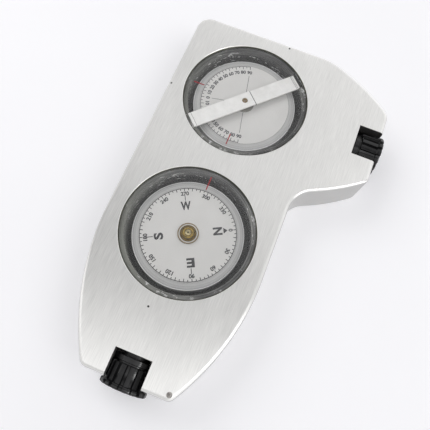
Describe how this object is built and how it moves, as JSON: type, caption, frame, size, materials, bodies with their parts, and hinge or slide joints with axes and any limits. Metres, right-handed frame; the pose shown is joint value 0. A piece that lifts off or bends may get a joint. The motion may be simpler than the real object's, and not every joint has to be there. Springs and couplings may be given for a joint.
{
  "type": "compass clinometer",
  "caption": "Flat aluminium sighting instrument: liquid-damped compass and clinometer cards under round windows, each read through a screw-focus eyepiece in the body's edge.",
  "frame": {"origin": "on the compass's turning axis, at the body's back face", "axes": "+Y from the compass towards the clinometer, +X towards the wing that holds the clinometer's eyepiece, +Z out of the face with the two windows"},
  "size_m": [0.0741, 0.124, 0.015],
  "materials": {
    "body_aluminium": "brushed lengthwise, clear anodised",
    "pin_steel": "smooth",
    "bedding_rubber": "matt",
    "capsule_acrylic": "clear, polished",
    "window_acrylic": "clear, polished",
    "base_black": "matt",
    "plug_grey": "matt",
    "line_red": "flat paint",
    "movement_brass": "turned",
    "card_aluminium": "satin",
    "dial_white": "matt, printed",
    "magnet_steel": "plain",
    "hub_clear": "clear, polished",
    "jewel_stone": "polished",
    "bridge_steel": "satin",
    "axle_steel": "polished",
    "eyepiece_black": "glossy, ribbed",
    "tube_black": "black anodised",
    "lens_glass": "polished",
    "seal_rubber": "matt"
  },
  "bodies": {
    "housing": {"body": "body_aluminium", "lanyard_pin": "pin_steel", "compass_bedding_ring": "bedding_rubber", "compass_capsule_cup": "capsule_acrylic", "compass_window": "window_acrylic", "compass_base_plate": "base_black", "compass_filler_plug": "plug_grey", "compass_index_line": "line_red", "compass_pivot_post": "movement_brass", "compass_reticle": "lens_glass", "clinometer_bedding_ring": "bedding_rubber", "clinometer_capsule_cup": "capsule_acrylic", "clinometer_window": "window_acrylic", "clinometer_base_plate": "base_black", "clinometer_filler_plug": "plug_grey", "clinometer_index_lines": "line_red", "clinometer_bridge": "bridge_steel", "clinometer_front_bearing": "movement_brass", "clinometer_rear_bearing": "movement_brass", "clinometer_reticle": "lens_glass"},
    "compass_rotor": {"compass_card": "card_aluminium", "compass_dial_face": "dial_white", "compass_magnets": "magnet_steel", "compass_hub": "hub_clear", "compass_hub_ring": "movement_brass", "compass_brass_cup": "movement_brass", "compass_jewel": "jewel_stone"},
    "clinometer_rotor": {"clinometer_card": "card_aluminium", "clinometer_dial_face": "dial_white", "clinometer_weight": "movement_brass", "clinometer_hub": "hub_clear", "clinometer_axle": "axle_steel"},
    "compass_lens_cell": {"compass_lens_tube": "tube_black", "compass_eye_lens": "lens_glass", "compass_lens_retainer": "tube_black", "compass_tube_seal": "seal_rubber"},
    "compass_eyepiece": {"compass_focus_ring": "eyepiece_black"},
    "clinometer_lens_cell": {"clinometer_lens_tube": "tube_black", "clinometer_eye_lens": "lens_glass", "clinometer_lens_retainer": "tube_black", "clinometer_tube_seal": "seal_rubber"},
    "clinometer_eyepiece": {"clinometer_focus_ring": "eyepiece_black"}
  },
  "joints": [
    {"name": "compass_card_turn", "type": "hinge", "parent": "housing", "child": "compass_rotor", "pos_m": [0, 0, 0.01], "axis": [0, 0, 1], "continuous": true},
    {"name": "clinometer_card_turn", "type": "hinge", "parent": "housing", "child": "clinometer_rotor", "pos_m": [0, 0.0495, 0.01], "axis": [0, 0, 1], "continuous": true},
    {"name": "compass_focus_travel", "type": "slide", "parent": "housing", "child": "compass_lens_cell", "axis": [0, -1, 0], "range_m": [-0.0008, 0.0012]},
    {"name": "compass_focus_turn", "type": "hinge", "parent": "compass_lens_cell", "child": "compass_eyepiece", "pos_m": [0, -0.046, 0.0075], "axis": [0, -1, 0], "range_deg": [-96, 144]},
    {"name": "clinometer_focus_travel", "type": "slide", "parent": "housing", "child": "clinometer_lens_cell", "axis": [1, 0, 0], "range_m": [0, 0.002]},
    {"name": "clinometer_focus_turn", "type": "hinge", "parent": "clinometer_lens_cell", "child": "clinometer_eyepiece", "pos_m": [0.0467, 0.0495, 0.0075], "axis": [1, 0, 0], "range_deg": [0, 240]}
  ],
  "couplings": [
    {"joint": "compass_focus_turn", "follows": "compass_focus_travel", "rad_per_m": 2094.4},
    {"joint": "clinometer_focus_turn", "follows": "clinometer_focus_travel", "rad_per_m": 2094.4}
  ]
}
